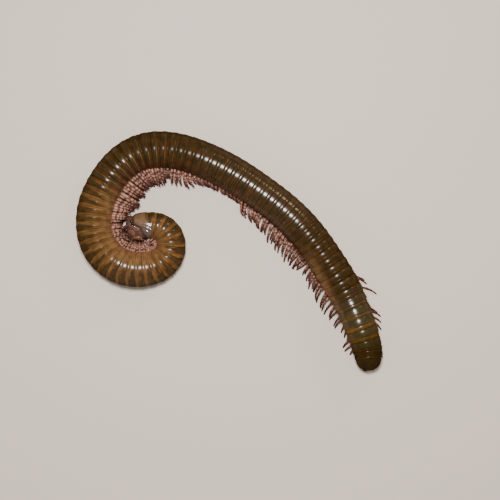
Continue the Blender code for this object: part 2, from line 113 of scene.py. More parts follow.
# Share of the rings' relief that is missing on the back, which begins between these angles.
RELIEF_CUT = [(120, 0.45), (138, 0), (143, 0), (146, 0.35), (151, 0.35), (154, 0)]
RELIEF_BACK = (100, 150)
SHINE = [
    (7, 1), (12, 0.8), (15, 0.4), (23.5, 0.4), (26.5, 0.7), (34.5, 0.7), (38, 0.07), (57, 0.07),
    (61.5, 1), (68, 1), (72, 0.18), (87, 0.2), (92, 0.8), (102, 0.8), (106, 1), (119, 1), (124, 0.45),
    (138, 0.45), (143, 1), (152, 1), (157, 0.5), (162, 0.3),
]
# Fine ridges run along the main plate on the lower flanks, and fade over a twelfth of the ring.
RIDGE_FROM = 14
RIDGE_TO = 74
RIDGE_STEP = 4.8
POINTS_PER_RIDGE = 4
RIDGE_HEIGHT = 0.02
RIDGE_PLATE = (0.4, 0.96)
RIDGE_FADE = 12
BACK_STEP = 4

# Pores on the flanks, from the sixth ring on, with rows of height and radius.
FIRST_PORE = 5
PORE_PLACE = 0.45
PORE_ANGLE = 92
PORE_SEAT = 0.997
PORE_SIDES = 12
PORE_ACROSS = (0.3, 0.4, 0.87)
PORE_ROWS = ((-0.04, 0.09775), (0.012, 0.085), (0.022, 0.068), (0.02, 0.0425), (-0.01, 0.0255))

ONE_PAIR_RINGS = 3
FIRST_LEG_PLACES = (0.5,)
LEG_PLACES = (0.28, 0.76)
# The tucked right legs stand behind the left ones from the arch on, by a share of a ring.
RIGHT_SHIFT = [(76, 0), (86, 0.24)]
PLACE_CHANCE = 0.09
# How far the legs reach past the edge of the body.
LEG_REACH = [
    (8, 3), (12, 2.9), (15, 2.3), (20, 1.9), (22, 2.2), (24, 2.6), (31, 2.8), (36, 2.9), (43, 2.9),
    (46, 2.4), (49, 2.6), (51, 3.1), (54, 4.2), (57, 4.8), (62, 4.7), (70, 4.3), (77.5, 4.2), (80, 2.4),
    (82.5, 3.9), (86, 3.2), (89, 1.8), (93, 1.1), (97, 0.9), (103, 0.9), (105, 2.9), (108, 2.6),
    (112, 3.5), (118, 4), (129, 4), (132.5, 2.4), (135.5, 3.1), (139, 3.7), (142, 3.4), (145, 2.4),
    (147, 1.9), (150, 1.8), (151.5, 0.4), (154, 0.3), (155.5, 1.5), (158, 1.5), (159, 0.2),
]
# The same for right legs that show past the back; where it is nothing they are tucked under the belly.
OUTSIDE_REACH = [
    (138, 0), (138.3, 1.5), (140.3, 1.5), (140.6, 0), (141.9, 0), (142.1, 3.7), (142.9, 3.7),
    (143.2, 0), (145.8, 0), (146.2, 0.3), (147.4, 0.3), (147.7, 1.2), (149.1, 1.7), (151.4, 1.7),
    (152, 0.9), (153, 0.9), (153.5, 0.2),
]
REACH_CHANCE = 0.2
TUCKED_REACH = 0.9
# Behind this distance the coil's legs end short of the middle of its bend.
HUB_LEGS = 13
BEND_REACH = 0.96
BEND_CHANCE = 0.05
# How far the leg tips lean towards the tail.
LEAN = [
    (8, 0), (44, 0), (56, 0.6), (66, 2), (78, 2.6), (80.5, 1.4), (84, 2.6), (104, 2.6), (126, 3),
    (131, 1.4), (134, 3), (138, 4), (144, 4.3), (151, 3.4), (160, 2.6),
]
OUTSIDE_LEAN = 4.6
# The front legs point forward under the head.
FRONT_LEGS_END = 17
FRONT_LEGS_FORWARD = 4.2
HEAD_HEADING_AT = 6
# Height of the left leg tips, which hang free on the raised flank.
TIP_SINK = 0.05
LEFT_TIP_HEIGHT = [(10, 4.8), (24, 4.2), (40, 2.6), (86, 1.8), (106, 0.3), (124, -TIP_SINK)]
TIP_HEIGHT_CHANCE = 0.25
# A leg's root: angle and share of the radius. Its hip and ankle bend its middle line.
LEG_SPREAD = 11
LEG_ROOT = 0.84
HIP_PLACE = 0.5
HIP_CHANCE = 0.45
HIP_LIFT = {1: 0.18, -1: 0.02}
ANKLE_PLACE = 0.12
ANKLE_LIFT = 0.35
# The legs swing along the route.
SWING = 0.7
SWING_WAVE = 17
SWING_PHASE = 0.6
SWING_BEND = 1.5
SWING_CHANCE = [(44, 1.35), (64, 0.8), (90, 0.4), (125, 0.7)]
# A leg's segments: where each one ends as a share of the leg, and its half thickness.
LEG_SEGMENTS = ((0.28, 0.3), (0.43, 0.3), (0.57, 0.285), (0.7, 0.265), (0.82, 0.24), (0.95, 0.19))
LEG_SIDES = 8
SEGMENT_CHANCE = 0.05
# All joints of a leg shift together by up to this share.
JOINT_SHIFT = 0.045
# Along a segment: place, and share of its thickness.
SEGMENT_ROWS = ((0, 0.66), (0.1, 0.82), (0.32, 0.96), (0.62, 1.03), (0.86, 0.97), (0.98, 0.72))
CLAW_ROWS = ((0.955, 0.085), (0.975, 0.065), (0.992, 0.035), (1, 0.012))
# Factors on the legs' thickness: along the route, and slope, start and least for tight bends.
LEG_GIRTH = [
    (40, 1.16), (46, 1.3), (62, 1.3), (74, 1.05), (98, 1.1), (106, 1.18), (124, 1.15), (130, 1.1),
]
LEG_ROOM = (1.25, 0.18, 0.62)

HEAD_SIDES = 72
HEAD_DEPTH = 2.35
HEAD_BULGE = 2.6
HEAD_HALF_HEIGHT = 3.25
HEAD_HALF_WIDTH = 3
MOUTH_DEPTH = 0.55
# Rows of the head capsule, as turns from its rim to its face.
HEAD_TURNS = (0, 4, 9, 14, 20, 26, 32, 38, 44, 50, 56, 62, 68, 74, 79, 83, 86.5)
# The rim is tucked in: by a share of the outline, over these degrees of turn.
HEAD_TUCK = (0.11, 7)
# The neck: how far behind the rim, and share of the outline.
NECK = (0.7, 0.84)
# The crown's furrow: depth, half width, and the turns over which it ends.
CROWN_FURROW = (0.07, 3.5, (62, 42))
# Dents at the antennae and the brow: depth, and middle and half width as angle and as turn.
HEAD_DENTS = ((0.16, (100, 14), (62, 12)), (0.1, (60, 16), (60, 14)))
# Raised plates: middle as turn and angle, half sizes in the same, height, and how pale.
HEAD_PLATES = (
    ((14, 76), (12.5, 12.5), 0.3, 0.2), ((40, 56), (20, 20), 0.42, 0.35),
    ((22, 25), (17, 10.5), 0.2, 0.85), ((36, 6.5), (9, 5.6), 0.17, 1),
)
MIDDLE_PLATES = (((12, 0), (10, 11), 0.16, 0.75), ((61, 0), (11.5, 27), 0.16, 0.55))
# Rows of such a plate, from its buried border in: share of its size, and of its height.
PLATE_ROWS = (
    (1, -0.6), (1, -0.05), (0.985, 0.28), (0.955, 0.5), (0.9, 0.68), (0.8, 0.83), (0.62, 0.94),
    (0.4, 0.99), (0.15, 1),
)
PLATE_SQUARE = 2.8
PLATE_SIDES = 40
LEAST_PLATE_TURN = 1
# By the mouth: angles, turn and height of the root and of the tip, thickness, sides, and spread.
TEETH = ((-5.2, 0, 5.2), (47, -0.1), (44, 0.3), 0.12, 8, 1)
HAIRS = (range(-24, 25, 6), (58, 0.05), (52, 0.65), 0.02, 5, 1.1)
# Along a spike: share of its length, and of its thickness.
CONE_ROWS = ((0, 1), (0.35, 0.92), (0.7, 0.68), (0.92, 0.38), (1, 0.1))
CONE_ACROSS = (0.31, 0.17, 0.93)

# Middle of an eye: share of the head's depth, and angle.
EYE_MIDDLE = (0.25, 113)
# Spots in each row of an eye, their step, and the shift of every second row.
EYE_ROWS = (9, 11, 12, 11, 10, 8, 5)
EYE_STEP = 0.155
EYE_STAGGER = 0.25
# Millimetres to a degree there.
TURN_LENGTH = 0.09
ANGLE_LENGTH = 0.053
# Rows of an eye spot: height, radius, and how black it is.
SPOT_SIDES = 10
SPOT_ACROSS = (0, 1, 0.1)
SPOT_ROWS = ((-0.0602, 0.09116), (0.0129, 0.086), (0.0559, 0.06192), (0.07998, 0.0258))
SPOT_BLACK = ((0,), (0.2,), (0.7,), (1,))

# Places on the head are ahead of its rim, towards the belly and to the side.
ANTENNA_ROUTE = (
    (1.55, -0.5, 2.3), (2, -0.5, 2.95), (2.65, -0.35, 3.25), (3.35, 0.35, 3.35), (3.45, 1.4, 3.1),
    (2.9, 2.4, 2.8), (2.1, 3.1, 2.6), (1.3, 3.6, 2.5),
)
ANTENNA_SIDES = 16
# The antenna's articles, as LEG_SEGMENTS and SEGMENT_ROWS.
ARTICLES = (
    (0.17, 0.25), (0.34, 0.27), (0.5, 0.29), (0.64, 0.31), (0.78, 0.34), (0.92, 0.35), (0.975, 0.22),
)
ARTICLE_ROWS = ((0, 0.5), (0.07, 0.68), (0.3, 0.86), (0.7, 1.02), (0.9, 1), (0.98, 0.7))
# How far the antenna's colour goes towards that of a leg tip.
FEELER_FADE = 0.7
# Sense cones round the tip: how far off its middle, and where they begin and end.
SENSE_CONES = 4
SENSE_OFFSET = 0.075
SENSE_ENDS = (-0.05, 0.16)
SENSE_THICKNESS = 0.05
# The ring round the antenna's root, with rows of height and radius.
SOCKET_PLACE = (1.38, -0.47, 2.2)
SOCKET_SIDES = 20
SOCKET_ROWS = ((-0.25, 0.55), (0, 0.5), (0.12, 0.44), (0.16, 0.36), (0.1, 0.28))

COLLUM_ROWS = 120
COLLUM_SIDES = 240
# The collum's front edge steps back below the eyes: between two angles, and how far.
COLLUM_STEPS = ((110, 78, 2), (78, 20, 0.6))
# Share of the collum's length and of its radius, from its front edge back.
COLLUM_PROFILE = (
    (0.05, 0.82), (-0.01, 0.85), (-0.02, 0.875), (0, 0.9), (0.025, 0.918), (0.07, 0.945), (0.15, 0.98),
    (0.35, 1.008), (0.6, 1.022), (0.85, 1.022), (0.93, 1.018), (0.965, 1.01), (0.985, 0.995),
    (0.975, 0.98), (0.9, 0.97),
)
# Its lobes reach back: how far, and where they begin and are cut, from the back at 0 to the belly at 1.
LOBE_BACK = 1.6
LOBE_START = (0.2, 0.55)
LOBE_END = (0.75, 1)
LOBE_CUT = 0.35
# They flare: angle, width, and height as a share of the radius.
LOBE_FLARE = (50, 19, 0.15)
FLARE_GROWTH = 2.2
FLARE_FRONT = 1.1
FLARE_DROP = 0.35
# Furrows run along them, dropping towards the rear, and fade in over these angles and lengths.
FURROW_STEP = 17
FURROW_DROP = 26
FURROW_DEPTH = 0.1
FURROW_ANGLES = ((100, 86), (14, 24))
FURROW_SHARES = ((0.05, 0.17), (0.96, 0.84))

TELSON_BEHIND = 3.3
TELSON_RADIUS = 0.93
TELSON_ROUNDING = 2.15
TELSON_DROP = 0.5
TELSON_TURNS = (0, 5, 10, 14, 17, 18, 19, 20, 21, 22, 24, 28, 34, 40, 46, 52, 58, 64, 70, 76, 81, 86)
# Its row inside the last ring: distance behind the ring's edge, and share of the radius.
TELSON_ROOT = (-0.6, 0.98)
# A low step across the hood, as on a ring's rear edge: place, height and softness.
TELSON_STEP = (0.36, 0.02, 0.006)
# Plates: place behind the last ring, towards the belly and to the left, half sizes, and how square.
VALVE = ((1.95, 0.75, 0.93), (1.6, 1.85, 0.99), 2.2)
UNDER_SCALE = ((1.3, 2.55, 0), (0.9, 0.5, 0.9), 2.2)
ROUND_PLATE_ROWS = 22
# Their end rows, in radians from the very ends.
ROUND_PLATE_END = 0.12

RING_VALUES = ("ring", "belly", "body", "chance", "pore", "swollen", "shine")
LIMB_VALUES = ("leg", "joint", "chance", "body")

OLIVE = (0.034, 0.0155, 0.001)
OLIVE_DULL = (0.037, 0.021, 0.0085)
OLIVE_BACK = (0.047, 0.032, 0.009)
COIL_DARK = (0.054, 0.029, 0.01)
# Painted glint on the rings' raised rear lips.
LIP_GLINT = (0.3, 0.19, 0.09)
GOLD = (0.16, 0.083, 0.026)
AMBER = (0.118, 0.05, 0.016)
OCHRE = (0.104, 0.055, 0.011)
BROWN = (0.05, 0.0235, 0.006)
BRONZE = (0.1, 0.057, 0.02)
RUST = (0.07, 0.026, 0.014)
TAWNY = (0.21, 0.105, 0.046)
BELLY = (0.24, 0.11, 0.075)
TAIL_BROWN = (0.024, 0.0105, 0.0004)
SEAM = (0.011, 0.006, 0.004)
# Tints of faint patches.
GREENISH = (0.86, 1.04, 1.02)
REDDISH = (1.14, 0.95, 0.9)
COLLAR = (0.155, 0.088, 0.047)
COLLAR_EDGE = (0.06, 0.03, 0.015)
# Tint of the collum's side lobes, a painted reflection of the surroundings.
COLLAR_LOBE_SHEEN = (0.09, 0.062, 0.056)
HEAD_TOP = (0.105, 0.05, 0.036)
HEAD_LOW = (0.21, 0.108, 0.064)
EYE_EDGE = (0.03, 0.018, 0.012)
EYE_BLACK = (0.006, 0.006, 0.007)
# Of a segment, of its joints and of the tip.
LEG_COLOURS = ((0.37, 0.202, 0.15), (0.16, 0.062, 0.048), (0.085, 0.027, 0.021))
FEELER_COLOURS = ((0.17, 0.088, 0.068), (0.085, 0.036, 0.029), (0.12, 0.07, 0.058))
FLOOR_COLOUR = (0.8, 0.7, 0.64)

# Where the looks change along the body, as shares of the route.
INNER_COIL_END = (0.19, 0.28)
COIL_END = (0.32, 0.39)
ARCH_START = (0.42, 0.5)
# Where the painted glint on the rear lips fades out towards the tail.
LIP_GLINT_END = (0.55, 0.42)
PALE_LEGS_END = (0.7, 0.82)
FLANK_START = (0.74, 0.84)
FLANK_END = (0.84, 0.92)
TAIL_START = (0.84, 0.93)
TAIL_TIP = (0.925, 0.97)
# Places on a ring.
SADDLE_PLACE = 0.57
GROOVE_PLACE = 0.313

FLOOR_HALF = 4000
FLOOR_DROP = 0.02
SURROUND_COLOUR = (1, 0.97, 0.93)
SURROUND_STRENGTH = 0.35
# Lamps aimed at the origin: place, width, power and colour.
LAMPS = {
    "flash": ((-5, 56, 305), 56, 1.2, (1, 0.96, 0.9)),
    "room": ((160, 214, 150), 50, 0.12, (1, 0.8, 0.5)),
}
SENSOR_WIDTH = 36
FRAME_WIDTH = 135.1
VIEW_MIDDLE = (4.86, 0.51)
BODY_HEIGHT = 4.7
VIEW_DISTANCE = 300
VIEW_CLIP = (0.01, 10)


def columns(rows):
    """The columns of a table, as arrays."""
    return [np.array(column) for column in zip(*rows)]


def unit(vector):
    return vector / np.linalg.norm(vector)


def crosswise(way, other):
    """The direction at right angles to both."""
    return unit(np.cross(way, other))


def ramp(value, low, high):
    """From 0 to 1 as the value goes from low to high."""
    return np.clip((value - low) / (high - low), 0, 1)


def smooth(share):
    return share**2 * (3 - 2 * share)


def hump(value, middle, width):
    """1 at the middle, and less on both sides."""
    return np.exp(-(((value - middle) / width) ** 2))


def eased(value, square):
    """A sine or cosine, changed to make the circle a rounded square."""
    return np.sign(value) * np.abs(value) ** (2 / square)


def circle(sides):
    return np.linspace(0, 360, sides, endpoint=False)[None, :]


def off_belly(angle):
    """Angle from the belly, alike on both sides."""
    return np.minimum(angle % 360, 360 - angle % 360)


def natural_spline(knots, values, wanted):
    """A smooth curve through the values, read at the given places."""
    count = len(knots)
    system = np.eye(count)
    right = np.zeros_like(values)
    gaps = np.diff(knots)
    right[1:-1] = 6 * np.diff(np.diff(values, axis=0) / gaps[:, None], axis=0)
    for i in range(1, count - 1):
        system[i, i - 1 : i + 2] = (gaps[i - 1], 2 * (gaps[i - 1] + gaps[i]), gaps[i])
    bend = np.linalg.solve(system, right)
    i = np.clip(np.searchsorted(knots, wanted, side="right") - 1, 0, count - 2)
    span = gaps[i]
    a = ((knots[i + 1] - wanted) / span)[:, None]
    b = 1 - a
    curve = (a**3 - a) * bend[i] + (b**3 - b) * bend[i + 1]
    return a * values[i] + b * values[i + 1] + curve * (span**2 / 6)[:, None]


def smoothed(points):
    """The points averaged along the route, with its ends carried on straight."""
    reach = int(4 * ROUTE_SMOOTHING / ROUTE_STEP)
    steps = np.arange(-reach, reach + 1) * ROUTE_STEP / ROUTE_SMOOTHING
    weights = np.exp(-0.5 * steps**2)
    before = points[0] + (points[0] - points[1]) * np.arange(reach, 0, -1)[:, None]
    after = points[-1] + (points[-1] - points[-2]) * np.arange(1, reach + 1)[:, None]
    padded = np.concatenate([before, points, after])
    averages = [np.convolve(padded[:, i], weights / weights.sum(), mode="valid") for i in (0, 1)]
    return np.stack(averages, axis=1)


def distances(points):
    steps = np.linalg.norm(np.diff(points, axis=0), axis=1)
    return np.concatenate([[0], np.cumsum(steps)])


def dense_route():
    """Distances along the route, the points there and the headings there."""
    corners = np.array(ROUTE) - BOX_MIDDLE
    knots = distances(corners)
    points = natural_spline(knots, corners, np.arange(0, knots[-1], ROUTE_STEP))
    along = distances(points)
    even = np.arange(0, along[-1], ROUTE_STEP)
    points = smoothed(np.stack([np.interp(even, along, points[:, i]) for i in (0, 1)], axis=1))
    along = distances(points)
    slope = np.gradient(points, along, axis=0)
    heading = np.unwrap(np.arctan2(slope[:, 1], slope[:, 0]))
    return along, points, heading


ALONG, POINTS, HEADING = dense_route()


def at(pairs, along):
    """A list's value at one distance or at many."""
    places, values = zip(*pairs)
    return np.interp(along, places, values)


def heading_at(along):
    return np.interp(along, ALONG, HEADING)


def direction_at(along):
    heading = heading_at(along)
    return np.array((math.cos(heading), math.sin(heading), 0))


def bend_radius(along):
    """Radius of the route's own bend."""
    turn = heading_at(along - 0.5 * BEND_SPAN) - heading_at(along + 0.5 * BEND_SPAN)
    return BEND_SPAN / np.maximum(turn, LEAST_TURN)


def inner_share(along):
    """Length of the coil's inner edge as a share of its middle line."""
    return 1 - at(RADIUS, along) / bend_radius(along)


def points_at(along, out, up):
    """Points beside the route: out towards the inside of the coil, and up from the floor."""
    along, out, up = np.broadcast_arrays(along, out, up)
    heading = heading_at(along)
    x = np.interp(along, ALONG, POINTS[:, 0]) + out * np.sin(heading)
    y = np.interp(along, ALONG, POINTS[:, 1]) - out * np.cos(heading)
    return np.stack([x, y, up], axis=-1)


def middle_height(along):
    return at(RADIUS, along) - FLOOR_SINK + at(CLEARANCE, along)


def skin_points(along, radius, angle):
    """Points of rings: the angle runs from straight down towards the inside of the coil."""
    turn = np.radians(angle)
    return points_at(along, radius * np.sin(turn), middle_height(along) - radius * np.cos(turn))


def front_points(along, radius, angle):
    """Points of the head and the collum, at angles from the belly."""
    return skin_points(along, radius, at(ROLL, COLLUM_FRONT) + angle)


def body_points(along, belly, left):
    """Points off the middle line: towards the belly, and towards the animal's left."""
    angle = np.degrees(np.arctan2(left, belly))
    return skin_points(along, np.hypot(belly, left), at(ROLL, along) + angle)


def ring_borders():
    """Distances where one ring ends and the next begins."""
    borders = [FIRST_RING]
    while borders[-1] < LAST_RING:
        borders.append(borders[-1] + at(RING_LENGTH, borders[-1]))
    lengths = np.array(borders) - FIRST_RING
    borders = FIRST_RING + lengths * (LAST_RING - FIRST_RING) / lengths[-1]
    # The youngest ring at the tail is short.
    return np.insert(borders, -1, 0.5 * (borders[-2] + borders[-1]))


def add_object(name, data, place=(0, 0, 0)):
    obj = bpy.data.objects.new(name, data)
    obj.location = Vector(place) * MM
    bpy.context.collection.objects.link(obj)
    return obj


class Shape:
    """Lofts gathered into one mesh, with the values at each point that its material reads."""

    def __init__(self, *names):
        self.points = []
        self.faces = []
        self.values = {name: [] for name in names}
        self.count = 0

    def add_loft(self, rows, **values):
        """A closed skin over rows of points, capped by a point in the middle of each end row."""
        length, sides = rows.shape[:2]
        grid = self.count + np.arange(length * sides).reshape(length, sides)
        near, far = grid[:-1], grid[1:]
        quads = np.stack([near, np.roll(near, -1, 1), np.roll(far, -1, 1), far], axis=-1)
        self.faces += quads.reshape(-1, 4).tolist()
        for row, end in ((grid[0][::-1], 0), (grid[-1], 1)):
            cap = self.count + length * sides + end
            self.faces += [(int(a), int(b), cap) for a, b in zip(row, np.roll(row, -1))]
        self.points.append(rows.reshape(-1, 3))
        self.points.append(np.array([rows[0].mean(axis=0), rows[-1].mean(axis=0)]))
        for name, kept in self.values.items():
            value = np.broadcast_to(values[name], (length, sides))
            kept.append(value.reshape(-1))
            kept.append(np.array([value[0].mean(), value[-1].mean()]))
        self.count += length * sides + 2

    def make(self, name, material):
        """The mesh object, pressed flat where it would pass the floor."""
        points = np.concatenate(self.points)
        points[:, 2] = np.maximum(points[:, 2], 0)
        mesh = bpy.data.meshes.new(name)
        mesh.from_pydata((points * MM).tolist(), [], self.faces)
        for key, kept in self.values.items():
            attribute = mesh.attributes.new(key, "FLOAT", "POINT")
            attribute.data.foreach_set("value", np.concatenate(kept).astype(np.float32))
        mesh.materials.append(material)
        mesh.shade_smooth()
        obj = add_object(name, mesh)
        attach(obj, "root")
        return obj


def tube_rows(path, radii, sides, side_way):
    """Rows of points round the path, one for each radius, that begin towards side_way."""
    ways = np.gradient(path, axis=0)
    ways /= np.linalg.norm(ways, axis=1)[:, None]
    across = side_way - ways * (ways @ side_way)[:, None]
    across /= np.linalg.norm(across, axis=1)[:, None]
    over = np.cross(ways, across)
    turn = np.radians(circle(sides))[..., None]
    spread = np.cos(turn) * across[:, None] + np.sin(turn) * over[:, None]
    return path[:, None] + radii[:, None, None] * spread


def knob_rows(seat, out, rows, sides, across):
    """Rows of points round a way out from a seat, each at its own height and radius."""
    heights, radii = columns(rows)
    return tube_rows(seat + out * heights[:, None], radii, sides, crosswise(out, across))


def ring_angles():
    """Angles from the belly round a ring, close together over the fine ridges."""
    fine = np.arange(RIDGE_FROM, RIDGE_TO, RIDGE_STEP / POINTS_PER_RIDGE)
    belly = np.arange(-RIDGE_FROM + BACK_STEP, RIDGE_FROM, BACK_STEP)
    back = np.arange(RIDGE_TO, 360 - RIDGE_TO, BACK_STEP)
    return np.concatenate([belly, fine, back, 360 - fine[::-1]])


def ring_ridges(places, from_belly):
    """Height of the fine ridges on a ring."""
    front, rear = RIDGE_PLATE
    plate = np.clip((places - front) * RIDGE_FADE, 0, 1) * np.clip((rear - places) * RIDGE_FADE, 0, 1)
    flank = ramp(from_belly, RIDGE_TO, RIDGE_FROM) * (from_belly >= RIDGE_FROM)
    wave = np.cos(2 * math.pi * (from_belly - RIDGE_FROM) / RIDGE_STEP)
    return RIDGE_HEIGHT * plate * flank * wave


def add_ring(shape, start, end):
    """One ring of the trunk."""
    places, shares = (column[:, None] for column in columns(RING_PROFILE))
    angles = ring_angles()[None, :]
    from_belly = off_belly(angles)
    along = start + places * (end - start)
    body_radius, swollen = at(RADIUS, along), at(SWOLLEN, along)
    relief = 1 - at(RELIEF_CUT, along) * ramp(from_belly, *RELIEF_BACK)
    shares = 1 - (1 - shares) * relief
    middle, half = SWELL_PLATE
    off_middle = np.clip((places - middle) / half, -1, 1)
    swell = SWELL * swollen * off_middle**2
    rise = at(RISE, along) * ramp(places, *RISE_PLATE)
    radius = shares * body_radius + ring_ridges(places, from_belly) - swell - rise
    rows = skin_points(along, radius, at(ROLL, along) + angles)
    # Where the floor presses the ring flat, its inner parts stay above the outer ones.
    rows[..., 2] = np.maximum(rows[..., 2], (1 - shares) * body_radius)
    values = {"belly": from_belly / 180, "body": along / ROUTE_END, "swollen": swollen, "pore": 0}
    shape.add_loft(rows, ring=places, shine=at(SHINE, along), chance=CHANCE.rand(), **values)


def add_pore(shape, start, end, side):
    """The raised rim of a pore on a ring's flank."""
    along = start + PORE_PLACE * (end - start)
    radius = PORE_SEAT * at(RADIUS, along)
    around = at(ROLL, along) + side * PORE_ANGLE
    seat, above = (skin_points(along, radius + rise, around) for rise in (0, 1))
    rows = knob_rows(seat, above - seat, PORE_ROWS, PORE_SIDES, PORE_ACROSS)
    values = {"body": along / ROUTE_END, "swollen": 0, "shine": at(SHINE, along)}
    shape.add_loft(rows, ring=0.5, belly=0.5, chance=0.5, pore=1, **values)


def leg_path(along, side, shares, chance):
    """A leg's middle line, swung by the walking wave."""
    radius = at(RADIUS, along)
    outside = side < 0 and at(OUTSIDE_REACH, along) > 0
    reach = at(OUTSIDE_REACH if outside else LEG_REACH, along) * (1 + REACH_CHANCE * chance[0])
    if side < 0 and not outside:
        reach *= TUCKED_REACH
    if not outside and along > HUB_LEGS:
        reach = min(reach, (BEND_REACH - BEND_CHANCE * (1 + chance[0])) * bend_radius(along) - radius)
    angle = math.radians(at(ROLL, along) + side * LEG_SPREAD)
    root_up = middle_height(along) - LEG_ROOT * radius * math.cos(angle)
    root = np.array((LEG_ROOT * radius * math.sin(angle), root_up))
    outward = -1 if outside else 1
    tip_up = -TIP_SINK
    if side > 0:
        tip_up = at(LEFT_TIP_HEIGHT, along) * (1 + TIP_HEIGHT_CHANCE * chance[1])
    tip = np.array((outward * (radius + reach), tip_up))
    span = abs(tip[0] - root[0])
    hip_place = HIP_PLACE * (1 + HIP_CHANCE * chance[1])
    hip = root + (outward * hip_place * span, HIP_LIFT[side] * span)
    ankle = tip + (-outward * ANKLE_PLACE * span, ANKLE_LIFT * (1 + root_up - tip_up))
    share = shares[:, None]
    rest = 1 - share
    curve = rest**3 * root + 3 * rest**2 * share * hip + 3 * rest * share**2 * ankle + share**3 * tip
    loose = inner_share(along) if not outside else 1
    swing = SWING * math.sin(2 * math.pi * along / SWING_WAVE + SWING_PHASE * side)
    lean = OUTSIDE_LEAN if outside else at(LEAN, along)
    swing += at(SWING_CHANCE, along) * chance[2] + lean
    path = points_at(along + swing * loose * shares**SWING_BEND, curve[:, 0], curve[:, 1])
    if along < FRONT_LEGS_END:
        length = FRONT_LEGS_FORWARD * (FRONT_LEGS_END - along) / (FRONT_LEGS_END - FIRST_RING)
        path -= length * direction_at(HEAD_HEADING_AT) * share
    return path


def limb_rows(segments, rows):
    """Rows along a limb: share of its length, half thickness, and place on the segment."""
    starts = [0] + [end for end, _ in segments[:-1]]
    return [
        (start + place * (end - start), thickness * swell, place)
        for start, (end, thickness) in zip(starts, segments)
        for place, swell in rows
    ]


def add_leg(shape, along, side):
    """One jointed leg with its claw."""
    shift = JOINT_SHIFT * JOINT_CHANCE.uniform(-1, 1)
    segments = [
        (end + (shift + SEGMENT_CHANCE * CHANCE.uniform(-1, 1)), thickness)
        for end, thickness in LEG_SEGMENTS[:-1]
    ]
    rows = limb_rows([*segments, LEG_SEGMENTS[-1]], SEGMENT_ROWS)
    rows += [(share, thickness, 1) for share, thickness in CLAW_ROWS]
    shares, radii, joints = columns(rows)
    slope, start, least = LEG_ROOM
    room = np.clip(slope * inner_share(along) + start, least, 1)
    path = leg_path(along, side, shares, CHANCE.uniform(-1, 1, 3))
    girth = room * at(LEG_GIRTH, along)
    rows = tube_rows(path, radii * girth, LEG_SIDES, direction_at(along))
    values = {"leg": shares[:, None], "joint": joints[:, None], "body": along / ROUTE_END}
    shape.add_loft(rows, chance=CHANCE.rand(), **values)


def leg_places(index, last):
    """Places on a ring where it carries a pair of legs."""
    if index >= last:
        return ()
    return LEG_PLACES if index >= ONE_PAIR_RINGS else FIRST_LEG_PLACES


def interface_at(angle):
    """The collum's front edge along the route, which draws back towards the belly."""
    back = 0
    for start, end, step in COLLUM_STEPS:
        back = back + step * smooth(ramp(off_belly(angle), start, end))
    return COLLUM_FRONT + back


def collum_rear(angle):
    """The collum's rear edge along the route, whose side lobes lap over the first ring."""
    belly = 0.5 + 0.5 * np.cos(np.radians(angle))
    lobe = ramp(belly, *LOBE_START) * (1 - LOBE_CUT * ramp(belly, *LOBE_END))
    return FIRST_RING + LOBE_BACK * smooth(lobe)


def add_collum(material):
    """The collar, with furrows on its side lobes."""
    profile = np.array(COLLUM_PROFILE)
    rows = np.linspace(0, len(profile) - 1, COLLUM_ROWS)
    share, grow = (np.interp(rows, range(len(profile)), column)[:, None] for column in profile.T)
    angle = circle(COLLUM_SIDES)
    from_belly = off_belly(angle)
    front = interface_at(angle)
    along = front + share * (collum_rear(angle) - front)
    radius = grow * at(RADIUS, along)
    middle, width, height = LOBE_FLARE
    flare = height * hump(from_belly, middle, width) * np.clip(FLARE_GROWTH * share, 0, 1)
    radius = radius * (1 + flare * (FLARE_FRONT - FLARE_DROP * share))
    depth = FURROW_DEPTH
    for value, fades in ((from_belly, FURROW_ANGLES), (share, FURROW_SHARES)):
        for fade in fades:
            depth = depth * ramp(value, *fade)
    line = (from_belly + FURROW_DROP * share) / FURROW_STEP
    radius = radius - depth * (0.5 + 0.5 * np.cos(2 * math.pi * line)) ** 2
    shape = Shape("belly", "ring")
    shape.add_loft(front_points(along, radius, angle), belly=from_belly / 180, ring=share)
    collum = shape.make("collum_collar", material)
    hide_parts("collum")


def head_outline(angle):
    """The head's outline from the front: deeper at the mouth, narrower at the sides."""
    turn = np.radians(angle)
    deep = HEAD_HALF_HEIGHT + MOUTH_DEPTH * (0.5 + 0.5 * np.cos(turn)) ** 2
    return 1 / np.hypot(np.cos(turn) / deep, np.sin(turn) / HEAD_HALF_WIDTH)


def head_skin(turn, angle, grow=0):
    """Points on the head capsule, from its back rim at turn 0 to its face at turn 90."""
    depth, narrow = (eased(wave(np.radians(turn)), HEAD_BULGE) for wave in (np.sin, np.cos))
    along = interface_at(angle) * (1 - depth) + (COLLUM_FRONT - HEAD_DEPTH) * depth
    return front_points(along, narrow * head_outline(angle) + grow, angle)


def head_points(ahead, belly, left):
    return body_points(COLLUM_FRONT - ahead, belly, left)


def add_head_plate(shape, middle, half, height, low, side=1):
    """A raised plate that follows the head's own surface."""
    share, rise = (column[:, None] for column in columns(PLATE_ROWS))
    way = np.radians(circle(PLATE_SIDES))
    turn = middle[0] + share * half[0] * eased(np.cos(way), PLATE_SQUARE)
    angle = side * (middle[1] + share * half[1] * eased(np.sin(way), PLATE_SQUARE))
    shape.add_loft(head_skin(np.maximum(turn, LEAST_PLATE_TURN), angle, height * rise), low=low)


def add_cone(shape, root, tip, thickness, sides=8, **values):
    """A blunt spike from root to tip."""
    rows = [(share, thickness * width) for share, width in CONE_ROWS]
    shape.add_loft(knob_rows(root, tip - root, rows, sides, CONE_ACROSS), **values)


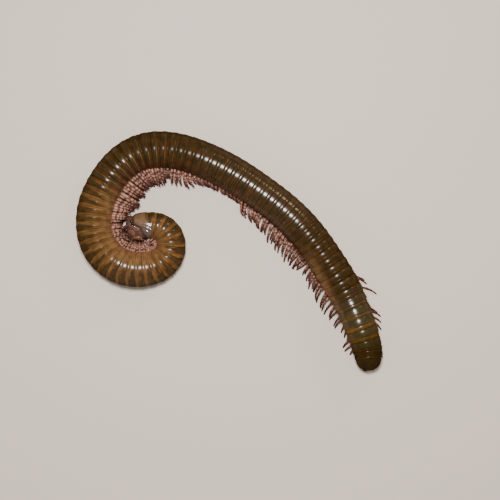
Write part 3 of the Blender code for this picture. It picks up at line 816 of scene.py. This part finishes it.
def add_head(material):
    """The head capsule with its dents, plates, teeth and hairs."""
    shape = Shape("low")
    angle = circle(HEAD_SIDES)
    from_belly = off_belly(angle)
    turn = np.array(HEAD_TURNS, float)[:, None]
    tuck, tuck_end = HEAD_TUCK
    sunk = tuck * head_outline(angle) * hump(turn, 0, tuck_end)
    depth, width, fade = CROWN_FURROW
    sunk = sunk + depth * hump(from_belly, 180, width) * ramp(turn, *fade)
    for depth, round_belly, turns in HEAD_DENTS:
        sunk = sunk + depth * hump(from_belly, *round_belly) * hump(turn, *turns)
    behind, narrow = NECK
    neck = front_points(interface_at(angle) + behind, narrow * head_outline(angle), angle)
    shape.add_loft(np.concatenate([neck, head_skin(turn, angle, -sunk)]), low=0)
    for plate in MIDDLE_PLATES:
        add_head_plate(shape, *plate)
    for side in (-1, 1):
        for plate in HEAD_PLATES:
            add_head_plate(shape, *plate, side)
    for angles, root, tip, thickness, sides, spread in (TEETH, HAIRS):
        for angle in angles:
            ends = (head_skin(root[0], angle, root[1]), head_skin(tip[0], spread * angle, tip[1]))
            add_cone(shape, *ends, thickness, sides, low=1)
    head = shape.make("head_shell", material)
    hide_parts("head")


def add_eye(name, side, material):
    """A patch of small round eye spots in rows, seated on the head."""
    shape = Shape("spot")
    depth, angle_middle = EYE_MIDDLE
    turn_middle = math.degrees(math.asin(depth ** (HEAD_BULGE / 2)))
    for row, count in enumerate(EYE_ROWS):
        for column in range(count):
            ahead = (row - 0.5 * (len(EYE_ROWS) - 1)) * EYE_STEP
            down = (column - 0.5 * (count - 1) + EYE_STAGGER * (row % 2)) * EYE_STEP
            turn = turn_middle + ahead / TURN_LENGTH
            angle = side * (angle_middle - down / ANGLE_LENGTH)
            seat = head_skin(turn, angle)
            out = crosswise(head_skin(turn, angle + 1) - seat, head_skin(turn + 1, angle) - seat)
            shape.add_loft(knob_rows(seat, out, SPOT_ROWS, SPOT_SIDES, SPOT_ACROSS), spot=SPOT_BLACK)
    eye = shape.make(f"eye_{name}_spots", material)
    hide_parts(f"eye_{name}")


def add_antenna(name, side, material):
    """A jointed feeler with sense cones at its tip and a ringed socket."""
    corners = np.array([head_points(ahead, belly, side * left) for ahead, belly, left in ANTENNA_ROUTE])
    knots = distances(corners)
    shares, radii, joints = columns(limb_rows(ARTICLES, ARTICLE_ROWS))
    path = natural_spline(knots, corners, knots[-1] * shares)
    up = np.array((0, 0, 1))
    shape = Shape(*LIMB_VALUES)
    values = {"leg": FEELER_FADE * shares[:, None], "joint": joints[:, None]}
    shape.add_loft(tube_rows(path, radii, ANTENNA_SIDES, up), chance=0.3, body=0, **values)
    dark = {"leg": 0.9, "joint": 1, "body": 0}
    way = unit(path[-1] - path[-2])
    aside = np.cross(way, up)
    for i in range(SENSE_CONES):
        turn = 2 * math.pi * (i + 0.5) / SENSE_CONES
        off = SENSE_OFFSET * (math.cos(turn) * aside + math.sin(turn) * np.cross(way, aside))
        root, tip = (path[-1] + off + end * way for end in SENSE_ENDS)
        add_cone(shape, root, tip, SENSE_THICKNESS, chance=0.5, **dark)
    ahead, belly, left = SOCKET_PLACE
    outward, radii = columns(SOCKET_ROWS)
    rim = head_points(ahead, belly, side * left) + unit(corners[1] - corners[0]) * outward[:, None]
    shape.add_loft(tube_rows(rim, radii, SOCKET_SIDES, up), chance=0.2, **dark)
    antenna = shape.make(f"antenna_{name}_feeler", material)
    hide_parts(f"antenna_{name}")


def add_round_plate(shape, plate, side=1, **values):
    """A rounded plate at the tail, on the left or the right."""
    (behind, belly, left), (half_length, half_depth, half_width), square = plate
    tilt = np.linspace(ROUND_PLATE_END, math.pi - ROUND_PLATE_END, ROUND_PLATE_ROWS)[:, None]
    turn = np.radians(circle(PLATE_SIDES))
    wide = eased(np.sin(tilt), square)
    along = LAST_RING + behind + half_length * eased(np.cos(tilt), square) + 0 * turn
    down = belly + half_depth * wide * eased(np.cos(turn), square)
    aside = side * left + half_width * wide * eased(np.sin(turn), square)
    shape.add_loft(body_points(along, down, aside), **values)


def add_telson(material):
    """The tail end: a blunt hood over two anal valves, and a scale below."""
    shape = Shape(*RING_VALUES)
    angles = circle(HEAD_SIDES)
    turn = np.radians(np.array(TELSON_TURNS, float))[:, None]
    depth, narrow = (eased(wave(turn), TELSON_ROUNDING) for wave in (np.sin, np.cos))
    place, height, softness = TELSON_STEP
    narrow = narrow + height / (1 + np.exp((depth - place) / softness))
    root_behind, root_narrow = TELSON_ROOT
    behind = np.concatenate([[[root_behind]], TELSON_BEHIND * depth])
    narrow = np.concatenate([[[root_narrow]], narrow])
    radius = TELSON_RADIUS * at(RADIUS, LAST_RING) * narrow
    drop = TELSON_DROP * (np.maximum(behind, 0) / TELSON_BEHIND) ** 2
    around = np.radians(angles)
    belly, left = radius * np.cos(around) - drop, radius * np.sin(around)
    rows = body_points(LAST_RING + behind + 0 * angles, belly, left)
    values = {"body": 1, "pore": 0, "chance": 0.5, "swollen": 0.5, "shine": 0.3}
    ring = 0.5 + 0.2 * behind / TELSON_BEHIND
    shape.add_loft(rows, ring=ring, belly=off_belly(angles) / 180, **values)
    for side in (-1, 1):
        add_round_plate(shape, VALVE, side, ring=0.57, belly=0.8, **values)
    add_round_plate(shape, UNDER_SCALE, ring=0.57, belly=0.3, **values)
    telson = shape.make("tail_end", material)
    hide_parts("telson")


def add_lengths(skin, limb):
    """The trunk's rings and legs, in the same lengths as the solids."""
    borders = ring_borders()
    count = len(borders) - 2
    for number in range(LENGTHS):
        first = round(count * number / LENGTHS)
        after = round(count * (number + 1) / LENGTHS) + (number == LENGTHS - 1)
        rings = Shape(*RING_VALUES)
        legs = Shape(*LIMB_VALUES)
        for index in range(first, after):
            start, end = borders[index : index + 2]
            add_ring(rings, start, end)
            if index >= FIRST_PORE:
                for side in (-1, 1):
                    add_pore(rings, start, end, side)
            for place in leg_places(index, count - 1):
                along = start + place * (end - start)
                for side in (-1, 1):
                    tucked = side < 0 and at(OUTSIDE_REACH, along) == 0
                    shift = tucked * at(RIGHT_SHIFT, along) + PLACE_CHANCE * CHANCE.uniform(-1, 1)
                    add_leg(legs, along + shift * (end - start), side)
        trunk = rings.make(f"rings_{number + 1:02d}", skin)
        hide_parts(f"body_{number + 1:02d}")
        legs.make(f"legs_{number + 1:02d}", limb)


class Look:
    """A material, with short ways to add nodes to it."""

    def __init__(self, name, roughness, coat=0, coat_roughness=0.05, specular=0):
        self.material = bpy.data.materials.new(name)
        self.material.use_nodes = True
        self.tree = self.material.node_tree
        self.shader = self.tree.nodes["Principled BSDF"]
        numbers = {"Roughness": roughness, "Coat Weight": coat, "Coat Roughness": coat_roughness}
        self.fill(self.shader, {**numbers, "Specular IOR Level": specular})
        self.coat = coat

    def fill(self, node, inputs):
        """Link or set a node's inputs. A tuple is a colour."""
        for key, value in inputs.items():
            if isinstance(value, bpy.types.NodeSocket):
                self.tree.links.new(value, node.inputs[key])
            else:
                node.inputs[key].default_value = (*value, 1) if isinstance(value, tuple) else value

    def node(self, kind, inputs, **settings):
        made = self.tree.nodes.new(kind)
        for key, value in settings.items():
            setattr(made, key, value)
        self.fill(made, inputs)
        return made

    def values(self, *names):
        """The values that a shape keeps at its points."""
        made = [self.node("ShaderNodeAttribute", {}, attribute_name=name) for name in names]
        return [node.outputs["Fac"] for node in made]

    def math(self, operation, a, b=0, c=0):
        return self.node("ShaderNodeMath", {0: a, 1: b, 2: c}, operation=operation).outputs[0]

    def times(self, a, b):
        return self.math("MULTIPLY", a, b)

    def linear(self, value, slope, start):
        return self.math("MULTIPLY_ADD", value, slope, start)

    def gap(self, value, place):
        return self.math("ABSOLUTE", self.math("SUBTRACT", value, place))

    def step(self, value, low, high, start=0, end=1):
        """Smooth change from start to end as the value goes from low to high."""
        inputs = {"Value": value, "From Min": low, "From Max": high, "To Min": start, "To Max": end}
        return self.node("ShaderNodeMapRange", inputs, interpolation_type="SMOOTHSTEP").outputs[0]

    def mix(self, share, first, second, blend="MIX"):
        inputs = {0: share, 6: first, 7: second}
        return self.node("ShaderNodeMix", inputs, data_type="RGBA", blend_type=blend).outputs[2]

    def shaded(self, colour, shade):
        grey = self.node("ShaderNodeCombineColor", {0: shade, 1: shade, 2: shade}).outputs[0]
        return self.mix(1, colour, grey, "MULTIPLY")

    def where(self, x, y, z):
        return self.node("ShaderNodeCombineXYZ", {0: x, 1: y, 2: z}).outputs[0]

    def place(self):
        """Place on the object, in millimetres."""
        inputs = {0: self.node("ShaderNodeTexCoord", {}).outputs["Object"], "Scale": 1 / MM}
        return self.node("ShaderNodeVectorMath", inputs, operation="SCALE").outputs[0]

    def noise(self, scale, detail=3, where=None):
        inputs = {"Vector": where or self.place(), "Scale": scale, "Detail": detail}
        return self.node("ShaderNodeTexNoise", inputs).outputs["Fac"]

    def finish(self, colour, bump=None, height=0.01, roughness=None, gloss=1):
        # The thin glossy layer is weaker where it is seen edge-on.
        facing = self.node("ShaderNodeLayerWeight", {"Blend": 0.5}).outputs["Facing"]
        edge_on = self.step(facing, 0.12, 0.6, self.coat, 0.12 * self.coat)
        inputs = {"Base Color": colour, "Coat Weight": self.times(edge_on, gloss)}
        if roughness is not None:
            inputs["Roughness"] = roughness
        if bump is not None:
            relief = {"Height": bump, "Distance": height * MM, "Strength": 1}
            inputs["Normal"] = self.node("ShaderNodeBump", relief).outputs["Normal"]
        self.fill(self.shader, inputs)
        return self.material


def plate_colour(look, ring, belly, body, chance, shine):
    """A dark olive saddle over each plate's back, with amber between and golden in the coil."""
    mix, step, times, linear, gap = look.mix, look.step, look.times, look.linear, look.gap
    coil = step(body, *COIL_END, 1, 0)
    inner_coil = step(body, *INNER_COIL_END, 1, 0)
    tail = step(body, *TAIL_START)
    # Streaks run round each ring.
    across = linear(ring, 5, times(chance, 60))
    streaks = look.noise(1, 2, look.where(across, times(belly, 5), body))
    # The saddle's half width grows towards the back.
    back = step(belly, 0.3, 0.95)
    narrow = linear(back, 0.34, 0.05)
    wide = linear(back, 0.2, linear(tail, -0.12, 0.3))
    half = look.node("ShaderNodeMix", {0: coil, 2: wide, 3: narrow}).outputs[0]
    wobbly = look.math("ADD", ring, linear(look.noise(0.9), 0.2, -0.1))
    edge = look.math("SUBTRACT", gap(wobbly, SADDLE_PLACE), half)
    edge = look.math("ADD", edge, linear(streaks, 0.5, -0.25))
    saddle = step(edge, -0.09, 0.11, 1, 0)
    gold = mix(step(streaks, 0.35, 0.65), AMBER, GOLD)
    gold = mix(inner_coil, mix(0.45, gold, BRONZE), gold)
    # The rear lip turns rusty towards the back.
    lip = times(step(ring, 0.72, 0.88), step(belly, 0.4, 0.75, 0, 0.7))
    gold = mix(lip, gold, RUST)
    between = mix(coil, mix(tail, BROWN, OCHRE), gold)
    rear = step(ring, 0.86, 0.93, 0, 0.5)
    between = mix(rear, between, mix(tail, AMBER, OCHRE))
    olive = mix(shine, OLIVE_DULL, OLIVE)
    dark = mix(tail, mix(times(coil, 0.85), olive, COIL_DARK), OLIVE_BACK)
    # Off the tail the streaks are rusty amber hairlines on the dark plates.
    hairlines = step(streaks, 0.5, 0.7, 0, 0.35)
    dark = mix(times(hairlines, look.math("SUBTRACT", 1, tail)), dark, BRONZE)
    colour = mix(saddle, between, dark)
    # A thin pale line runs along the rear lip, from the coil to the arch: a painted glint of light
    # caught by the raised lip, mostly on the lower flank.
    line = times(step(ring, 0.87, 0.9), step(ring, 0.96, 0.945))
    line = times(line, step(body, *LIP_GLINT_END, 0, 0.55))
    line = times(line, step(belly, 0.66, 0.46, 0.1, 1))
    colour = mix(line, colour, LIP_GLINT)
    # Reddish low on the flanks.
    colour = mix(step(belly, 0.5, 0.14, 0, 0.75), colour, mix(coil, RUST, TAWNY))
    colour = mix(step(belly, 0.17, 0.09, 0, 0.9), colour, BELLY)
    flank = times(step(belly, 0.75, 0.48, 0, 0.75), step(body, *FLANK_START))
    flank = times(flank, step(body, *FLANK_END, 1, 0.25))
    colour = mix(flank, colour, TAWNY)
    colour = mix(step(body, *TAIL_TIP, 0, 0.75), colour, TAIL_BROWN)
    # Faint mottling and patches, weaker in the coil.
    colour = look.shaded(colour, step(look.noise(0.55, 4), 0.3, 0.7, 0.75, 1.2))
    tint = mix(step(look.noise(0.9), 0.36, 0.64), GREENISH, REDDISH)
    return mix(linear(coil, -0.4, 1), colour, tint, "MULTIPLY")


def cuticle():
    """Ringed cuticle, with dark seams, pores, and gloss that fine scratches spread round the body."""
    look = Look("cuticle", 0.3, coat=0.95, coat_roughness=0.22)
    ring, belly, body, chance, pore, swollen, shine = look.values(*RING_VALUES)
    colour = plate_colour(look, ring, belly, body, chance, shine)
    groove = look.step(look.gap(ring, GROOVE_PLACE), 0.035, 0.01)
    seam = look.math("MAXIMUM", groove, look.step(ring, 0.955, 0.975))
    colour = look.mix(look.times(seam, 0.6), colour, SEAM)
    colour = look.mix(look.times(pore, 0.7), colour, AMBER)
    # Hair-fine lines run round the front band, and the plate is faintly wrinkled.
    lines = look.times(look.math("SINE", look.times(ring, 150)), look.step(ring, 0.3, 0.26))
    grain = look.linear(look.noise(5, 4), 0.5, look.times(lines, 0.3))
    # Hair-fine scratches run along the swollen plates.
    scratched = look.where(look.times(ring, 1.5), look.times(belly, 150), chance)
    depth = look.times(swollen, look.linear(shine, -2.6, 7.2))
    grain = look.math("ADD", grain, look.times(look.noise(1, 2, scratched), depth))
    rough = look.linear(look.noise(1.6), 0.12, 0.25)
    # The front bands of swollen plates are dull.
    sunk = look.times(look.step(ring, 0.42, 0.36, 0, 0.85), swollen)
    gloss = look.times(shine, look.math("SUBTRACT", 1, sunk))
    return look.finish(colour, grain, 0.007, rough, gloss)


def collar_skin():
    """Smooth greyish-brown collar, darker at its margins, with a painted greyish sheen on its side
    lobes.
    """
    look = Look("collar", 0.25, coat=1, coat_roughness=0.16)
    belly, ring = look.values("belly", "ring")
    edges = look.math("MAXIMUM", look.step(ring, 0.16, 0.03), look.step(ring, 0.9, 0.97))
    colour = look.mix(edges, COLLAR, COLLAR_EDGE)
    # The side lobes take a darker greyish tint, a painted reflection of the surroundings on their shiny
    # surface.
    colour = look.mix(look.step(belly, 0.66, 0.36, 0, 0.85), colour, COLLAR_LOBE_SHEEN)
    colour = look.shaded(colour, look.step(look.noise(0.8, 4), 0.3, 0.7, 0.8, 1.15))
    return look.finish(colour, look.noise(5, 4), 0.01)


def head_skin_look():
    """Dark purplish-brown head, paler round the mouth."""
    look = Look("head_skin", 0.28, coat=0.6, coat_roughness=0.14)
    colour = look.mix(*look.values("low"), HEAD_TOP, HEAD_LOW)
    colour = look.shaded(colour, look.step(look.noise(1.3, 4), 0.3, 0.7, 0.7, 1.25))
    return look.finish(colour, look.noise(7, 4), 0.015)


def eye_look():
    look = Look("eye_spots", 0.15, coat=1, coat_roughness=0.06)
    return look.finish(look.mix(*look.values("spot"), EYE_EDGE, EYE_BLACK))


def limb_skin(name, colours):
    """Paler segments with dark reddish joints and tips."""
    look = Look(name, 0.38, coat=0.25, coat_roughness=0.2)
    leg, joint, chance, body = look.values(*LIMB_VALUES)
    pale, dark, tip = colours
    ends = look.math("MAXIMUM", look.step(joint, 0.28, 0.06), look.step(joint, 0.6, 0.85))
    colour = look.mix(ends, pale, dark)
    colour = look.mix(look.step(leg, 0.38, 0.86), colour, tip)
    # From the arch on the outer halves are darker.
    outer = look.times(look.step(leg, 0.35, 0.7), look.step(body, *ARCH_START, 0, 0.6))
    colour = look.mix(outer, colour, tip)
    # Each leg has its own shade, and those near the tail are darker.
    shade = look.times(look.linear(chance, 0.5, 0.72), look.step(body, *PALE_LEGS_END, 1, 0.78))
    return look.finish(look.shaded(colour, shade), look.noise(6), 0.02)


def add_stage():
    mesh = bpy.data.meshes.new("floor")
    half = FLOOR_HALF * MM
    corners = [(-half, -half, 0), (half, -half, 0), (half, half, 0), (-half, half, 0)]
    mesh.from_pydata(corners, [], [(0, 1, 2, 3)])
    floor = add_object("floor", mesh, (0, 0, -FLOOR_DROP))
    look = Look("floor", 0.85, specular=0.1)
    look.fill(look.shader, {"Base Color": FLOOR_COLOUR})
    mesh.materials.append(look.material)


def add_camera():
    data = bpy.data.cameras.new("camera")
    data.sensor_width = SENSOR_WIDTH
    data.lens = SENSOR_WIDTH * VIEW_DISTANCE / FRAME_WIDTH
    data.clip_start, data.clip_end = VIEW_CLIP
    bpy.context.scene.camera = add_object("camera", data, (*VIEW_MIDDLE, BODY_HEIGHT + VIEW_DISTANCE))


def add_lights():
    world = bpy.data.worlds.new("studio")
    world.use_nodes = True
    background = world.node_tree.nodes["Background"]
    background.inputs["Color"].default_value = (*SURROUND_COLOUR, 1)
    background.inputs["Strength"].default_value = SURROUND_STRENGTH
    bpy.context.scene.world = world
    for name, (place, width, power, colour) in LAMPS.items():
        data = bpy.data.lights.new(name, "AREA")
        data.shape = "DISK"
        data.size = width * MM
        data.energy = power
        data.color = colour
        lamp = add_object(name, data, place)
        lamp.rotation_mode = "QUATERNION"
        lamp.rotation_quaternion = (-lamp.location).to_track_quat("-Z", "Y")


def main():
    skin, limb = cuticle(), limb_skin("leg_skin", LEG_COLOURS)
    feeler = limb_skin("feeler_skin", FEELER_COLOURS)
    add_head(head_skin_look())
    eye = eye_look()
    for name, side in (("left", 1), ("right", -1)):
        add_eye(name, side, eye)
        add_antenna(name, side, feeler)
    add_collum(collar_skin())
    add_lengths(skin, limb)
    add_telson(skin)
    add_stage()
    add_camera()
    add_lights()


main()
